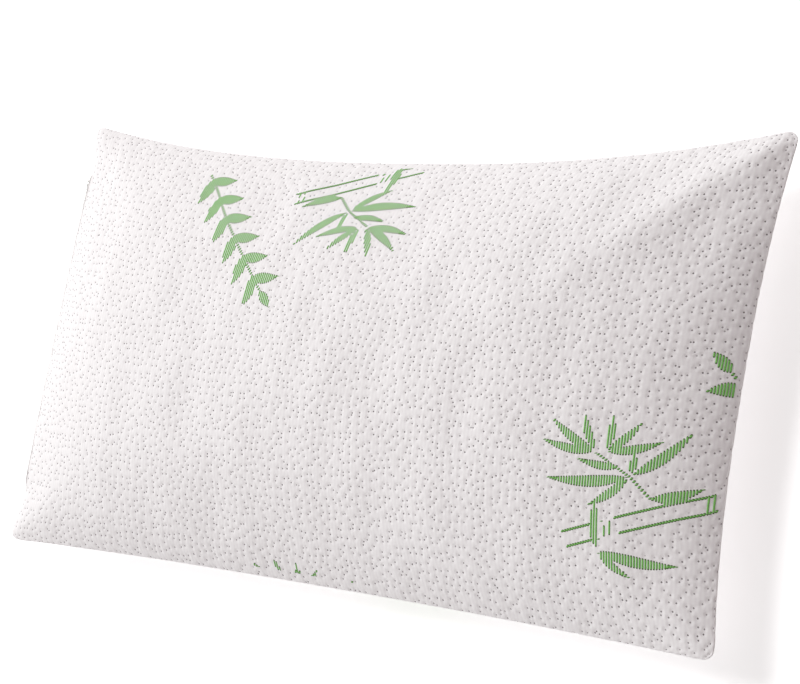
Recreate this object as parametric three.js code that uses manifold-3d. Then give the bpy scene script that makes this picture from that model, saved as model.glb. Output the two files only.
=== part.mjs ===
// A king-size bed pillow in millimetres, lying on its back with its printed front face up.
// +X runs along the long side, +Y towards the top edge of the print, +Z up through the thickness.
// The origin is on the floor under the middle of the pillow.
import * as THREE from "three";
import { mergeVertices } from "three/addons/utils/BufferGeometryUtils.js";
import Module from "manifold-3d";

// Driving dimensions. The cover is cut 914 by 508 (36 by 20 inches) and the fill draws it in.
const FILLED_WIDTH = 890;
const FILLED_HEIGHT = 482;
const SEAM_HEIGHT = 60; // the side seam above the floor
const CROWN = 74; // how far each face bulges from the seam before the floor flattens the back
const COVER_THICKNESS = 2;
const CASE_THICKNESS = 0.8;

// How far the middle of each side pulls in from the line between its corners.
const TOP_PULL = 39;
const BOTTOM_PULL = 5;
const RIGHT_PULL = 17;
const ZIPPER_SIDE_PULL = 10;
const PULL_POWER = 2.4;
const EAR_TRIM = 4; // how much the turned corners are rounded off

// Bulge of a face: fuller along the width than along the height.
const WIDTH_POWER = 4;
const WIDTH_FULLNESS = 0.8;
const HEIGHT_POWER = 2.4;
const HEIGHT_FULLNESS = 0.75;

// The two panels of a cover part this much each side of the seam, and the overlock lies between.
const SEAM_HALF_GAP = 0.6;
const OVERLOCK_HALF_THICKNESS = 0.3;
const CASE_INSET = 12;
const CASE_CLEARANCE = 5;
const FOAM_INSET = 24;
const FOAM_CLEARANCE = 8;
const FLOOR_CLEARANCE = 1; // between one layer and the next where the back lies flat

// A size 5 nylon coil zipper, 350 between its stops, across the end at -X.
const TOUCH_GAP = 0.3; // between pieces that touch
const OPENING_HALF_WIDTH = 6.5; // from the seam line to the turned edge of each panel
const OPENING_BLEND = 0.3; // share of the half width over which the opening closes inwards
const TAPE_SETBACK = 2.3; // the tape's face behind the panel edges
const TAPE_THICKNESS = 0.6;
const TAPE_INNER_EDGE = 1.4;
const TAPE_KNEE = 6;
const TAPE_REACH = 13;
const COIL_WIDTH = 3;
const COIL_HEIGHT = 2.2;
const COIL_SPREAD = 1.15; // how far each coil moves over to pass the slider's neck
const STOP_LENGTH = 3;
const STOP_FROM_CENTRE = 175.3;
const SLIDER_LENGTH = 12;
const SLIDER_REST = 168; // the closed end, just below the top stops

// Grid counts of the soft pieces.
const COLUMNS = 24;
const ROWS = 16;
const ZIPPER_ROWS = 10;
const BAND_STEPS = 80;
const SEAM_CORNERS = [
  [-1, 1],
  [1, 1],
  [1, -1],
  [-1, -1],
];

const { smoothstep } = THREE.MathUtils;

function material(name, color, roughness, metalness = 0) {
  return new THREE.MeshStandardMaterial({ name, color, roughness, metalness });
}

function named(name, geometry, itsMaterial) {
  const mesh = new THREE.Mesh(geometry, itsMaterial);
  mesh.name = name;
  return mesh;
}

// A closed solid from a box grid: place(u, v, w) gives each grid point, with u, v and w from -1 to 1.
function shapedBox(uCount, vCount, wCount, place) {
  const geometry = new THREE.BoxGeometry(2, 2, 2, uCount, vCount, wCount);
  const points = geometry.attributes.position;
  for (let i = 0; i < points.count; i++) {
    points.setXYZ(i, ...place(points.getX(i), points.getY(i), points.getZ(i)));
  }
  geometry.computeVertexNormals();
  return geometry;
}

// Grid lines crowd towards the seams, where a face curves most.
function station(u) {
  const crowding = 0.6;
  return crowding * Math.sin((u * Math.PI) / 2) + (1 - crowding) * u;
}

const ZIPPER_END = station(ZIPPER_ROWS / ROWS);
const OPENING_END = station((ZIPPER_ROWS + 2) / ROWS);

// Plan position of the grid place (s, t), each from -1 to 1 between the seams.
function plan(s, t, inset) {
  const midWidth = 1 - Math.abs(s) ** PULL_POWER;
  const midHeight = 1 - Math.abs(t) ** PULL_POWER;
  const zipperStraight = 1 - smoothstep(Math.abs(t), ZIPPER_END, 1);
  const corner = EAR_TRIM * Math.abs(s * t) ** 16;
  const rightPull = (RIGHT_PULL * midHeight * (1 + s)) / 2;
  const leftPull = (ZIPPER_SIDE_PULL * zipperStraight * (1 - s)) / 2;
  const topPull = (TOP_PULL * midWidth * (1 + t)) / 2;
  const bottomPull = (BOTTOM_PULL * midWidth * (1 - t)) / 2;
  const x = s * (FILLED_WIDTH / 2 - inset) - rightPull + leftPull - Math.sign(s) * corner;
  const y = t * (FILLED_HEIGHT / 2 - inset) - topPull + bottomPull - Math.sign(t) * corner;
  return [x, y];
}

// 0 at the seam and 1 at the middle of a face.
function bulge(s, t) {
  const acrossWidth = Math.max(0, 1 - Math.abs(s) ** WIDTH_POWER) ** WIDTH_FULLNESS;
  const acrossHeight = Math.max(0, 1 - Math.abs(t) ** HEIGHT_POWER) ** HEIGHT_FULLNESS;
  return acrossWidth * acrossHeight;
}

// The extra parting of the two cover panels at the zipper.
function zipperParting(s, t) {
  const length = (OPENING_END - Math.abs(t)) / (OPENING_END - ZIPPER_END);
  const depth = 1 - (s + 1) / OPENING_BLEND;
  const clampedLength = Math.min(1, Math.max(0, length));
  return (OPENING_HALF_WIDTH - SEAM_HALF_GAP) * clampedLength * Math.max(0, depth);
}

// Depth of a cover panel's inner face, measured from the level of the seam.
function coverDepth(s, t) {
  return SEAM_HALF_GAP + zipperParting(s, t) + CROWN * bulge(s, t);
}

// One sewn face: side is 1 for the front and -1 for the back, which the floor flattens.
function sewnFace(side, inset, thickness, restHeight, depthAt) {
  return shapedBox(COLUMNS, ROWS, 1, (u, v, w) => {
    const s = station(u);
    const t = station(v);
    const outer = w * side > 0 ? thickness : 0;
    const free = depthAt(s, t) + outer;
    const floor = SEAM_HEIGHT - restHeight - thickness + outer;
    const depth = side > 0 ? free : Math.min(free, floor);
    return [...plan(s, t, inset), SEAM_HEIGHT + side * depth];
  });
}

// A flat band between two insets along a route of (s, t) points, where the raw edges are overlocked.
// The route runs clockwise seen from above, so that the band's outer edge lies to its left.
function overlockBand(corners, outerInset, innerInset) {
  const route = new THREE.Path(corners.map(([s, t]) => new THREE.Vector2(s, t)));
  return shapedBox(BAND_STEPS, 1, 1, (u, v, w) => {
    const point = route.getPointAt((u + 1) / 2);
    const inset = v > 0 ? outerInset : innerInset;
    return [...plan(point.x, point.y, inset), SEAM_HEIGHT + w * OVERLOCK_HALF_THICKNESS];
  });
}

const pillow = new THREE.Group();

// Outer cover: two panels of quilted jacquard knit, sewn face to face and turned.
for (const [name, side] of [
  ["cover_front_panel", 1],
  ["cover_back_panel", -1],
]) {
  const knit = material("jacquard_knit", 0xf2f0f0, 0.9);
  pillow.add(named(name, sewnFace(side, 0, COVER_THICKNESS, 0, coverDepth), knit));
}

// The cover's seam is overlocked on three sides and as far as the zipper's ends on the fourth.
const coverRoute = [[-1, OPENING_END], ...SEAM_CORNERS, [-1, -OPENING_END]];
const coverBand = overlockBand(coverRoute, 1.5, 8);
pillow.add(named("cover_seam_thread", coverBand, material("overlock_thread", 0xf4f4f2, 0.8)));

// Inner case: thin tricot, sewn shut all round, that keeps the fill together inside the cover.
const caseDepth = (s, t) => SEAM_HALF_GAP + (CROWN - CASE_CLEARANCE) * bulge(s, t);
const caseRest = COVER_THICKNESS + FLOOR_CLEARANCE;
for (const [name, side] of [
  ["inner_case_front", 1],
  ["inner_case_back", -1],
]) {
  const geometry = sewnFace(side, CASE_INSET, CASE_THICKNESS, caseRest, caseDepth);
  pillow.add(named(name, geometry, material("tricot", 0xf7f7f5, 0.85)));
}
const threadEnd = 0.002; // the sewing starts and stops here, in the middle of a side
const caseRoute = [[-1, threadEnd], ...SEAM_CORNERS, [-1, -threadEnd]];
const caseBand = overlockBand(caseRoute, CASE_INSET + 1.5, CASE_INSET + 6);
pillow.add(named("inner_case_seam_thread", caseBand, material("case_thread", 0xffffff, 0.8)));

// The fill: shredded memory foam, packed, so it stands as one solid inside the case.
const foamRest = caseRest + CASE_THICKNESS + FLOOR_CLEARANCE;
const foamRim = SEAM_HALF_GAP / 2;
const foam = shapedBox(COLUMNS, ROWS, 1, (u, v, w) => {
  const s = station(u);
  const t = station(v);
  const free = foamRim + (CROWN - FOAM_CLEARANCE) * bulge(s, t);
  const depth = w > 0 ? free : -Math.min(free, SEAM_HEIGHT - foamRest);
  return [...plan(s, t, FOAM_INSET), SEAM_HEIGHT + depth];
});
pillow.add(named("foam_fill", foam, material("memory_foam", 0xe9e6da, 0.95)));

// The blank care label stands out of the inner case's seam, inside the cover, at the zipper end.
const LABEL_WIDTH = 45;
const LABEL_THICKNESS = 0.5;
const [labelEdge] = plan(-1, 0, CASE_INSET);
const label = new THREE.BoxGeometry(LABEL_THICKNESS * 14, LABEL_WIDTH, LABEL_THICKNESS);
label.translate(labelEdge - LABEL_THICKNESS * 7 - TOUCH_GAP, 0, SEAM_HEIGHT);
pillow.add(named("care_label", label, material("satin_ribbon", 0xfafafa, 0.5)));

// Zipper. Its tapes lie behind the turned panel edges, and the coils meet on the seam line.
const [rimX] = plan(-1, 0, 0);
const tapeFaceX = rimX + TAPE_SETBACK;

// A point on a cover panel's inner face, this far in from its zipper edge: x, y and height over the seam.
function panelInnerFace(distance, t) {
  const nextS = station(-1 + 2 / COLUMNS);
  const edge = new THREE.Vector3(...plan(-1, t, 0), coverDepth(-1, t));
  const next = new THREE.Vector3(...plan(nextS, t, 0), coverDepth(nextS, t));
  return edge.lerp(next, distance / (next.x - edge.x));
}

const coilRows = [
  -STOP_FROM_CENTRE + TOUCH_GAP,
  SLIDER_REST - 1,
  SLIDER_REST + 3,
  STOP_FROM_CENTRE - TOUCH_GAP,
];
const coilSpread = [0, 0, COIL_SPREAD, COIL_SPREAD];
const pieceHeight = COIL_HEIGHT + 2 * TOUCH_GAP;

for (const [end, side] of [
  ["front", 1],
  ["back", -1],
]) {
  // Woven polyester tape: upright at the coil, then bent along the inside of its panel.
  const underPanel = 0.9;
  const tape = shapedBox(1, ZIPPER_ROWS, 2, (u, v, w) => {
    const t = station((v * ZIPPER_ROWS) / ROWS);
    const inside = u > 0 ? TAPE_THICKNESS : 0;
    const across = side * w;
    if (across > 0.5) {
      const end = panelInnerFace(TAPE_REACH, t);
      return [end.x, end.y, SEAM_HEIGHT + side * (end.z - underPanel - inside * 1.4)];
    }
    const height = across < -0.5 ? TAPE_INNER_EDGE : TAPE_KNEE - inside / 3;
    return [tapeFaceX + inside, panelInnerFace(0, t).y, SEAM_HEIGHT + side * height];
  });
  pillow.add(named(`zipper_tape_${end}`, tape, material("polyester_tape", 0xf3f3f1, 0.85)));

  // Nylon coil, woven to the face of its tape and parted where the slider's neck stands.
  const coil = shapedBox(1, coilRows.length - 1, 1, (u, v, w) => {
    const row = Math.round(((v + 1) / 2) * (coilRows.length - 1));
    const across = side * w > 0 ? COIL_WIDTH : 0;
    const height = TOUCH_GAP / 2 + coilSpread[row] + across;
    const out = TOUCH_GAP + (u < 0 ? COIL_HEIGHT : 0);
    return [tapeFaceX - out, coilRows[row], SEAM_HEIGHT + side * height];
  });
  pillow.add(named(`zipper_coil_${end}`, coil, material("nylon_coil", 0xf8f8f6, 0.45)));

  // Top stop: a small crimped clamp on each tape.
  const stopWidth = 3.6;
  const stop = new THREE.BoxGeometry(COIL_HEIGHT, STOP_LENGTH, stopWidth);
  stop.translate(
    tapeFaceX - TOUCH_GAP - COIL_HEIGHT / 2,
    STOP_FROM_CENTRE + STOP_LENGTH / 2,
    SEAM_HEIGHT + side * (TAPE_INNER_EDGE + stopWidth / 2),
  );
  pillow.add(named(`zipper_top_stop_${end}`, stop, material("stop_alloy", 0xd9d9d6, 0.35, 1)));

  // Lockstitch row that holds the turned panel edge to the tape.
  const stitchInset = 3.2;
  const stitchWidth = 0.8;
  const stitch = shapedBox(1, ZIPPER_ROWS, 1, (u, v, w) => {
    const t = station((v * ZIPPER_ROWS) / ROWS);
    const under = panelInnerFace(stitchInset + (u > 0 ? stitchWidth : 0), t);
    const lift = COVER_THICKNESS + 2 * TOUCH_GAP + (side * w > 0 ? stitchWidth : 0);
    return [under.x, under.y, SEAM_HEIGHT + side * (under.z + lift)];
  });
  pillow.add(named(`zipper_stitching_${end}`, stitch, material("sewing_thread", 0xfcfcfa, 0.7)));
}

const bottomStop = new THREE.BoxGeometry(COIL_HEIGHT, STOP_LENGTH, 2 * COIL_WIDTH + 1);
bottomStop.translate(
  tapeFaceX - TOUCH_GAP - COIL_HEIGHT / 2,
  -STOP_FROM_CENTRE - STOP_LENGTH / 2,
  SEAM_HEIGHT,
);
pillow.add(named("zipper_bottom_stop", bottomStop, material("bottom_stop", 0xd9d9d6, 0.35, 1)));

// Slider and pull. Their group turns half a turn about Y, so that its +X points out of the pillow.
const zipperHead = new THREE.Group();
zipperHead.position.set(tapeFaceX, SLIDER_REST, SEAM_HEIGHT);
zipperHead.rotation.y = Math.PI;
pillow.add(zipperHead);

const wasm = await Module();
wasm.setup();

function solidOf(geometry) {
  const bare = geometry.clone();
  bare.deleteAttribute("normal");
  bare.deleteAttribute("uv");
  const merged = mergeVertices(bare, 1e-4);
  const vertProperties = merged.attributes.position.array;
  const triVerts = new Uint32Array(merged.index.array);
  return new wasm.Manifold(new wasm.Mesh({ numProp: 3, vertProperties, triVerts }));
}

function joined(geometries) {
  const whole = geometries.map(solidOf).reduce((sum, next) => sum.add(next));
  const mesh = whole.getMesh();
  const geometry = new THREE.BufferGeometry();
  geometry.setAttribute("position", new THREE.BufferAttribute(mesh.vertProperties, 3));
  geometry.setIndex(new THREE.BufferAttribute(mesh.triVerts, 1));
  geometry.computeVertexNormals();
  return geometry;
}

// Extrudes a shape drawn along (y, z) outwards, from one height over the tape to another.
const ALONG = new THREE.Vector3(0, 1, 0);
const ACROSS = new THREE.Vector3(0, 0, 1);
const OUTWARD = new THREE.Vector3(1, 0, 0);
function pressed(shape, from, to) {
  const options = { depth: to - from, bevelEnabled: false, curveSegments: 5 };
  const geometry = new THREE.ExtrudeGeometry(shape, options);
  geometry.applyMatrix4(new THREE.Matrix4().makeBasis(ALONG, ACROSS, OUTWARD));
  return geometry.translate(from, 0, 0);
}

const PLATE_THICKNESS = 1;
const plateUnder = pieceHeight; // the face plate's underside over the tape
const plateTop = plateUnder + PLATE_THICKNESS;
const backPlateFace = -TAPE_THICKNESS - TOUCH_GAP;
const sliderHalf = SLIDER_LENGTH / 2;
const mouthHalf = 5.6;
const tailHalf = 4.4;
const flangeThickness = 0.7;
const weld = 0.1; // overlap of joined pieces

const plateShape = new THREE.Shape()
  .moveTo(-sliderHalf, -tailHalf)
  .lineTo(1, -mouthHalf)
  .lineTo(4, -mouthHalf)
  .quadraticCurveTo(sliderHalf, -mouthHalf, sliderHalf, -3)
  .lineTo(sliderHalf, 3)
  .quadraticCurveTo(sliderHalf, mouthHalf, 4, mouthHalf)
  .lineTo(1, mouthHalf)
  .lineTo(-sliderHalf, tailHalf);
const flangeShape = (side) => {
  const corners = [
    [-sliderHalf, tailHalf - flangeThickness],
    [1, mouthHalf - flangeThickness],
    [4, mouthHalf - flangeThickness],
    [4, mouthHalf],
    [1, mouthHalf],
    [-sliderHalf, tailHalf],
  ];
  return new THREE.Shape(corners.map(([y, z]) => new THREE.Vector2(y, side * z)));
};
const neckShape = new THREE.Shape()
  .moveTo(2.6, 0)
  .lineTo(4.4, -1)
  .lineTo(5.4, -1)
  .lineTo(5.4, 1)
  .lineTo(4.4, 1);

// The bridge that holds the pull: an arch along the slider, open underneath.
const bridgeHalfThickness = 0.8;
const bridgeRoom = 2.2;
const bridgeTop = plateTop + bridgeRoom + 0.9;
const archShape = new THREE.Shape()
  .moveTo(-4.6, plateTop - weld)
  .lineTo(-3.6, plateTop - weld)
  .lineTo(-3.6, plateTop + bridgeRoom - 1)
  .quadraticCurveTo(-3.6, plateTop + bridgeRoom, -2.6, plateTop + bridgeRoom)
  .lineTo(2.6, plateTop + bridgeRoom)
  .quadraticCurveTo(3.6, plateTop + bridgeRoom, 3.6, plateTop + bridgeRoom - 1)
  .lineTo(3.6, plateTop - weld)
  .lineTo(4.6, plateTop - weld)
  .lineTo(4.6, bridgeTop - 1.7)
  .quadraticCurveTo(4.6, bridgeTop, 3, bridgeTop)
  .lineTo(-3, bridgeTop)
  .quadraticCurveTo(-4.6, bridgeTop, -4.6, bridgeTop - 1.7);
const bridge = new THREE.ExtrudeGeometry(archShape, {
  depth: 2 * bridgeHalfThickness,
  bevelEnabled: false,
  curveSegments: 5,
});
bridge.translate(0, 0, -bridgeHalfThickness);
// Drawn as (y, height): turned so that y runs along the chain and height runs outwards.
bridge.applyMatrix4(new THREE.Matrix4().makeBasis(ALONG, OUTWARD, ACROSS.clone().negate()));

const sliderBody = joined([
  pressed(plateShape, plateUnder, plateTop),
  pressed(plateShape, backPlateFace - PLATE_THICKNESS, backPlateFace),
  pressed(flangeShape(1), TOUCH_GAP, plateUnder + weld),
  pressed(flangeShape(-1), TOUCH_GAP, plateUnder + weld),
  pressed(neckShape, backPlateFace - weld, plateUnder + weld),
  bridge,
]);
zipperHead.add(named("zipper_slider_body", sliderBody, material("slider_alloy", 0xc9cacb, 0.3, 1)));

// The pull hangs by a round bar through the bridge and lies back over the closed chain.
const barRadius = 0.7;
const pullLength = 24;
const pullHalf = 3.2;
const armHalf = 2.4;
const pullAxis = plateTop + bridgeRoom / 2;
const pullShape = new THREE.Shape()
  .moveTo(0, armHalf)
  .lineTo(-7, armHalf)
  .quadraticCurveTo(-9, pullHalf, -11, pullHalf)
  .lineTo(3 - pullLength, pullHalf)
  .quadraticCurveTo(-pullLength, pullHalf, -pullLength, 0)
  .quadraticCurveTo(-pullLength, -pullHalf, 3 - pullLength, -pullHalf)
  .lineTo(-11, -pullHalf)
  .quadraticCurveTo(-9, -pullHalf, -7, -armHalf)
  .lineTo(0, -armHalf)
  .lineTo(0, -1.2)
  .lineTo(-6, -1.2)
  .lineTo(-6, 1.2)
  .lineTo(0, 1.2);
const gripHole = new THREE.Path().absarc(4 - pullLength, 0, 1.3, 0, 2 * Math.PI, true);
pullShape.holes.push(gripHole);
const bar = new THREE.CylinderGeometry(barRadius, barRadius, 2 * armHalf, 16);
bar.rotateX(Math.PI / 2).translate(pullAxis, 0, 0);
const pull = joined([pressed(pullShape, pullAxis - barRadius, pullAxis + barRadius), bar]);
zipperHead.add(named("zipper_pull_tab", pull, material("pull_alloy", 0xcfd0d1, 0.28, 1)));

// The corners pull in a little unevenly, so the finished pillow is centred over the origin.
const centre = new THREE.Box3().setFromObject(pillow).getCenter(new THREE.Vector3());
pillow.position.set(-centre.x, -centre.y, 0);

export default pillow;
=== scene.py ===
import math

import bmesh
import bpy
import numpy as np
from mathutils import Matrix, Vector


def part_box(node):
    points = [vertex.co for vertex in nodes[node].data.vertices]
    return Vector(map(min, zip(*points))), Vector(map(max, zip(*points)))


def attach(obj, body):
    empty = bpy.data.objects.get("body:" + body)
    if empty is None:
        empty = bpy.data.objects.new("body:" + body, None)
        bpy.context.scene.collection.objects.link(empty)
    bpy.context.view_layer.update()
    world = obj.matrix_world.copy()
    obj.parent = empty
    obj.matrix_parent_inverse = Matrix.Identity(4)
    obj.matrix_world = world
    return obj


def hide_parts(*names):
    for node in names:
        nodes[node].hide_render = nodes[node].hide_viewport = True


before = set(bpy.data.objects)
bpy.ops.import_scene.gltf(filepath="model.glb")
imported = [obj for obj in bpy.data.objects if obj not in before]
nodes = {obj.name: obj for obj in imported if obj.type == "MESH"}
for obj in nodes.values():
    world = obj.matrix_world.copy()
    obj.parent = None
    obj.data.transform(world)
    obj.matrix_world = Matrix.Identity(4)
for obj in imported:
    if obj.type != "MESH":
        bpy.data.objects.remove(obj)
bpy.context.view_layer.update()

# ---------------------------------------------------------------- the sewn and filled shape
# Two panels of knit, cut 914 by 508 mm, are sewn together at their edges and filled with foam.
# The fill rounds both faces and draws the sides in between the corners; lying down flattens the back.
# The panels start as flat cloth inside their seam and are blown up against it.

FLAT_WIDTH, FLAT_HEIGHT = 0.914, 0.508
COLUMNS, ROWS = 102, 56  # cloth cells of about 9 mm
CORNER_RADIUS = 0.014  # of the turned corners
CORNER_TRIM = 0.004  # what that radius takes off the corner
PULL_POWER = 2.4

front_low, front_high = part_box("cover_front_panel")
back_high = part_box("cover_back_panel")[1]
seam_height = (front_low.z + back_high.z) / 2
half_width = (front_high.x - front_low.x) / 2 + CORNER_TRIM
half_height = (front_high.y - front_low.y) / 2 + CORNER_TRIM
crown = front_high.z - seam_height
cad_rim = np.array([v.co for v in nodes["cover_front_panel"].data.vertices])


def middle_pull(axis, side):
    """How far the middle of one side of the cover lies inside the line between its corners."""
    close_to_middle = 0.015
    middle = cad_rim[np.abs(cad_rim[:, 1 - axis]) < close_to_middle]
    return (half_width, half_height)[axis] - (side * middle[:, axis]).max()


# The zipper keeps its side straight as far as its tapes reach, and holds the panel edges apart.
tape_low, tape_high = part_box("zipper_tape_front")
zipper_half = (tape_high.y - tape_low.y) / 2
ZIPPER_FADE = 0.011  # over which the opening closes at each end of the zipper
OPENING_HALF_WIDTH = 0.0065
SEAM_HALF_GAP = 0.0006


def rounded(share, half):
    """Where the seam point at this share of a half side lies, and how far the corner's round pulls it in."""
    distance = half * (1 - np.abs(share))
    angle = np.pi / 4 * np.clip(1 - distance / CORNER_RADIUS, 0, 1)
    along = np.where(distance < CORNER_RADIUS, CORNER_RADIUS * (1 - np.sin(angle)), distance)
    return np.sign(share) * (half - along), CORNER_RADIUS * (1 - np.cos(angle))


def bowed(position, half):
    return 1 - np.abs(position / half) ** PULL_POWER


def smooth(x):
    x = np.clip(x, 0, 1)
    return x * x * (3 - 2 * x)


s_line = np.linspace(-1, 1, COLUMNS + 1)
t_line = np.linspace(-1, 1, ROWS + 1)
s_grid, t_grid = np.meshgrid(s_line, t_line, indexing="ij")

along_x, inward_x = rounded(s_line, half_width)
along_y, inward_y = rounded(t_line, half_height)
zipper_bow = 1 - smooth((np.abs(along_y) - zipper_half) / (half_height - zipper_half))
top_edge = half_height - inward_x - middle_pull(1, 1) * bowed(along_x, half_width)
bottom_edge = -half_height + inward_x + middle_pull(1, -1) * bowed(along_x, half_width)
right_edge = half_width - inward_y - middle_pull(0, 1) * bowed(along_y, half_height)
left_edge = -half_width + inward_y + middle_pull(0, -1) * zipper_bow


def between_edges(low, high, across_low, across_high):
    """A surface that runs from one pair of edges to the other (a Coons patch)."""
    s_share = (s_grid + 1) / 2
    t_share = (t_grid + 1) / 2
    by_rows = (1 - t_share) * low[:, None] + t_share * high[:, None]
    by_columns = (1 - s_share) * across_low[None, :] + s_share * across_high[None, :]
    corners = (
        (1 - s_share) * (1 - t_share) * low[0]
        + s_share * (1 - t_share) * low[-1]
        + (1 - s_share) * t_share * high[0]
        + s_share * t_share * high[-1]
    )
    return by_rows + by_columns - corners


plan_x = between_edges(along_x, along_x, left_edge, right_edge)
plan_y = between_edges(bottom_edge, top_edge, along_y, along_y)
opening = 1 - smooth((np.abs(plan_y) - zipper_half + ZIPPER_FADE / 2) / ZIPPER_FADE)
parting = SEAM_HALF_GAP + (OPENING_HALF_WIDTH - SEAM_HALF_GAP) * opening * (s_grid == -1)
# The first shape is close to the filled one, so that the cloth settles soon.
START_CROWN = 0.066
bulge_along = (1 - s_grid**4) ** 0.8
bulge_across = np.maximum(0, 1 - np.abs(t_grid) ** PULL_POWER) ** 0.75
first_bulge = bulge_along * bulge_across

flat = np.stack([s_grid * FLAT_WIDTH / 2, t_grid * FLAT_HEIGHT / 2, s_grid * 0], axis=-1)
front = np.stack([plan_x, plan_y, parting + START_CROWN * first_bulge], axis=-1)
back = front * (1, 1, -1)


def grid_faces(columns, rows, first=0):
    corner = first + np.arange(columns)[:, None] * (rows + 1) + np.arange(rows)[None, :]
    quads = np.stack([corner, corner + rows + 1, corner + rows + 2, corner + 1], axis=-1)
    return quads.reshape(-1, 4)


def border(columns, rows):
    """The border points of a grid, once round, counter-clockwise from above."""
    index = np.arange((columns + 1) * (rows + 1)).reshape(columns + 1, rows + 1)
    return np.concatenate([index[:-1, 0], index[-1, :-1], index[:0:-1, -1], index[0, :0:-1]])


def shell_faces():
    """The faces of two panels, the second one turned over, joined all round their border."""
    count = (COLUMNS + 1) * (ROWS + 1)
    following = np.roll(rim, -1)
    joining = np.stack([rim, rim + count, following + count, following], axis=-1)
    return np.concatenate([grid_faces(COLUMNS, ROWS), grid_faces(COLUMNS, ROWS, count)[:, ::-1], joining])


rim = border(COLUMNS, ROWS)
rim_s, rim_t = (np.trunc(share.ravel()[rim]) for share in (s_grid, t_grid))  # the sides each point lies on


def mesh_object(name, points, faces, smooth_shaded=True):
    mesh = bpy.data.meshes.new(name)
    mesh.from_pydata(np.asarray(points).reshape(-1, 3).tolist(), [], np.asarray(faces).tolist())
    made = bpy.data.objects.new(name, mesh)
    bpy.context.scene.collection.objects.link(made)
    mesh.polygons.foreach_set("use_smooth", [smooth_shaded] * len(mesh.polygons))
    return made


def rounded_off(source, levels):
    smoothing = source.modifiers.new("Subdivision", "SUBSURF")
    smoothing.levels = smoothing.render_levels = levels


def thickened(source, thickness):
    thick = source.modifiers.new("Solidify", "SOLIDIFY")
    thick.thickness = thickness
    thick.offset = 0


def applied(source, name):
    """A plain mesh object of what the source looks like with its modifiers; the source is removed."""
    depsgraph = bpy.context.evaluated_depsgraph_get()
    mesh = bpy.data.meshes.new_from_object(source.evaluated_get(depsgraph))
    bpy.data.objects.remove(source)
    made = bpy.data.objects.new(name, mesh)
    mesh.name = name
    bpy.context.scene.collection.objects.link(made)
    return made


def blow_up(front, back):
    """Simulates the filled cover: both panels as cloth, pinned at the seam, under pressure."""
    count = front.shape[0] * front.shape[1]
    thickness = np.array([0, 0, SEAM_HALF_GAP])
    cloth = mesh_object("cloth", np.concatenate([flat + thickness, flat - thickness]), shell_faces())
    cloth.shape_key_add(name="cut", from_mix=False)
    start = cloth.shape_key_add(name="sewn", from_mix=False)
    start.data.foreach_set("co", np.concatenate([front, back]).ravel().astype(np.float32))
    start.value = 1
    seam = cloth.vertex_groups.new(name="seam")
    seam.add([int(i) for i in np.concatenate([rim, rim + count])], 1, "REPLACE")
    modifier = cloth.modifiers.new("Cloth", "CLOTH")
    settings = modifier.settings
    settings.vertex_group_mass = "seam"
    settings.rest_shape_key = cloth.data.shape_keys.key_blocks["cut"]
    settings.quality = 6
    settings.mass = 0.3
    settings.tension_stiffness = 15
    settings.compression_stiffness = 15
    settings.shear_stiffness = 5
    settings.bending_stiffness = 0.3
    settings.use_pressure = True
    settings.uniform_pressure_force = 4
    settings.effector_weights.gravity = 0
    modifier.collision_settings.use_collision = False
    last_frame = 28
    modifier.point_cache.frame_end = last_frame
    for number in range(1, last_frame + 1):
        bpy.context.scene.frame_set(number)
    depsgraph = bpy.context.evaluated_depsgraph_get()
    points = np.zeros(2 * count * 3, np.float32)
    cloth.evaluated_get(depsgraph).data.vertices.foreach_get("co", points)
    bpy.context.scene.frame_set(1)
    bpy.data.objects.remove(cloth)
    points = points.reshape(2, COLUMNS + 1, ROWS + 1, 3).astype(float)
    return points[0], points[1]


front, back = blow_up(front, back)

# The crumbs of foam show through as low lumps, and the seam gathers the cloth in small puckers.
LUMP_HEIGHT = 0.0011
PUCKER_HEIGHT = 0.0011
PUCKER_REACH = 0.016
PUCKER_LENGTH = 0.034
PUCKER_START = 0.004  # the stitching holds the cloth flat for this far
LUMP_FADE = 0.05
RIDGE_FADE = 0.03
edge_distance = np.minimum(
    (1 - np.abs(s_grid)) * FLAT_WIDTH / 2,
    (1 - np.abs(t_grid)) * FLAT_HEIGHT / 2,
)
draw = np.random.default_rng(7)


def lumps(count, shortest, longest):
    """A sum of plane waves of mixed direction, about 1 high, over the flat cloth."""
    total = np.zeros_like(s_grid)
    for _ in range(count):
        angle, start = draw.uniform(0, 2 * math.pi, 2)
        wave_count = 2 * math.pi / draw.uniform(shortest, longest)
        along = flat[..., 0] * math.cos(angle) + flat[..., 1] * math.sin(angle)
        total += np.cos(wave_count * along + start)
    return total / math.sqrt(count)


def gathers(position, distance):
    """Puckers along one pair of seams: short waves along the seam that fade out away from it."""
    unevenness = 2.5 * np.sin(position * 23)
    wave = np.cos(2 * math.pi * position / PUCKER_LENGTH + unevenness + draw.uniform(0, 6))
    return wave * np.exp(-distance / PUCKER_REACH) * (1 - np.exp(-distance / PUCKER_START))


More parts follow.
